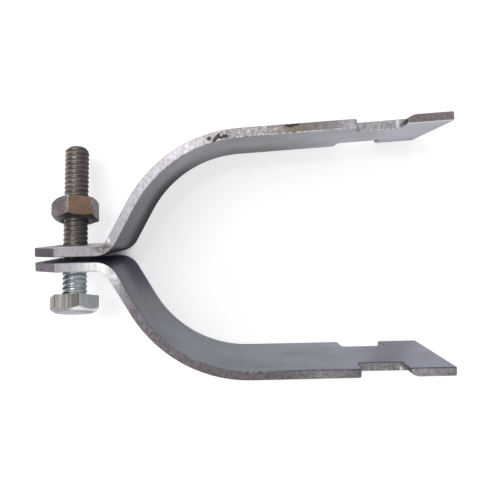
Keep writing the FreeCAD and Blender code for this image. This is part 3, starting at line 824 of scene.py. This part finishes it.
nut = {
    "low": 9.392,
    "high": 15.092,
    "across": 10.85,
    "turn": 23.2,
    "bore": 3.15,
    "mouth": 0.6,
    "land": 0.85,
    "bevelSlope": 0.35,
    "bevelCurve": 0.38,
    "cornerWear": 0.995,
    # Angles of the two corners towards the camera, whose bevels are shallower, above all on top
    "frontCorners": (-96.8, -36.8),
    "frontReach": 50,
    "frontBevel": 0.55,
    "frontTop": 0.25,
    # The corner on the right is worn back, and keeps a sharp lower lip
    "sideCorner": 23.2,
    "sideWear": 0.115,
    "sideReach": 30,
    "sideLip": 0.04,
    "lipReach": 20,
    "lipSharp": 0.75,
    "sharpReach": 25,
    "speck": (2.2, 3, 0.6),
    "stain": (0.35, 4, 0.6),
    "brown": ((0.165, 0.135, 0.135), (0.25, 0.205, 0.205)),
    "warm": ((0.22, 0.14, 0.095), (0.29, 0.18, 0.135)),
    # Painted shade on the nut's underside
    "under": ((0.055, 0.046, 0.055), (0.095, 0.085, 0.105)),
    # Part wear, part painted highlight along the nut's corners
    "rubbed": (0.75, 0.66, 0.60),
    "wearAndHighlightFrom": 1.105,
    "wearAndHighlightFull": 1.125,
    "rough": 0.42,
    "metal": 0.5,
}


def nutInto(bm):
    low, high, land = nut["low"], nut["high"], nut["across"] / 2 * nut["land"]
    bore, mouth = nut["bore"], nut["bore"] + nut["mouth"]

    def bySide(angle, reach):
        return closeTo(angle, nut["sideCorner"], nut[reach])

    def upperReach(angle):
        worn = nut["cornerWear"] - nut["sideWear"] * bySide(angle, "sideReach")
        return hexReach(angle, nut["across"], nut["turn"], worn)

    def lowerReach(angle):
        worn = nut["cornerWear"] - nut["sideWear"] * bySide(angle, "sideReach")
        lipped = worn + nut["sideLip"] * bySide(angle, "lipReach")
        return hexReach(angle, nut["across"], nut["turn"], lipped)

    def drop(radius, angle, frontShare):
        over = max(0, radius - land)
        front = max(closeTo(angle, corner, nut["frontReach"]) for corner in nut["frontCorners"])
        bevel = over * (nut["bevelSlope"] + nut["bevelCurve"] * over)
        return bevel * (1 - (1 - frontShare) * front)

    def lowerLevel(radius, angle):
        blunt = 1 - nut["lipSharp"] * bySide(angle, "sharpReach")
        return low + drop(radius, angle, nut["frontBevel"]) * blunt

    def upperLevel(radius, angle):
        return high - drop(radius, angle, nut["frontTop"])

    # Rings from the lower mouth outwards, up the sides and in again to the bore
    edges = first = firstRing(bm, bore, low + nut["mouth"])
    for radius, height in ((mouth, low), (land, low), (lowerReach, lowerLevel),
                           (upperReach, upperLevel), (land, high), (mouth, high),
                           (bore, high - nut["mouth"])):
        edges = addRing(bm, edges, radius, height)
    bmesh.ops.bridge_loops(bm, edges=edges + first)


def nutPaint():
    paint = Paint(bpy.data.materials.new("brownedNut"))
    own = fastenerPlace(paint)
    x, y, z = paint.split(own)
    nx, ny, nz = paint.facing()
    stain, speck = paint.noise(own, *nut["stain"]), paint.noise(own, *nut["speck"])
    patch = stain.ramp(0.38, 0.62)
    colour = paint.mix(patch, *nut["brown"])
    # A warmer side, an underside darkened with painted shade, and bright corners in places, part
    # wear and part painted highlight
    warm = nx.ramp(0.1, 0.3) * nz.ramp(0.5, 0.7)
    colour = paint.mix(warm, colour, paint.mix(patch, *nut["warm"]))
    # Painted shade on the nut's underside
    under = alongAxis(nx, ny, nz).ramp(-0.25, -0.6)
    colour = paint.mix(under, colour, paint.mix(patch, *nut["under"]))
    radius, inner = (x * x + y * y).power(0.5), nut["across"] / 2
    # Part wear, part painted highlight along the corners
    rubbed = radius.ramp(inner * nut["wearAndHighlightFrom"], inner * nut["wearAndHighlightFull"])
    rubbed = rubbed * speck.ramp(0.48, 0.62)
    colour = paint.mix(rubbed * 0.75, colour, nut["rubbed"])
    rough = nut["rough"] + (speck - 0.5) * 0.3
    return paint.surface(colour, rough, nut["metal"], paint.bump(speck, *fastener["bump"]))


bm = bmesh.new()
nutInto(bm)
nutPiece = makePiece("bevelled_nut", bm, nutPaint(), "hex_nut")
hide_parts("hex_nut")
print("nut made:", len(nutPiece.data.polygons), "faces")
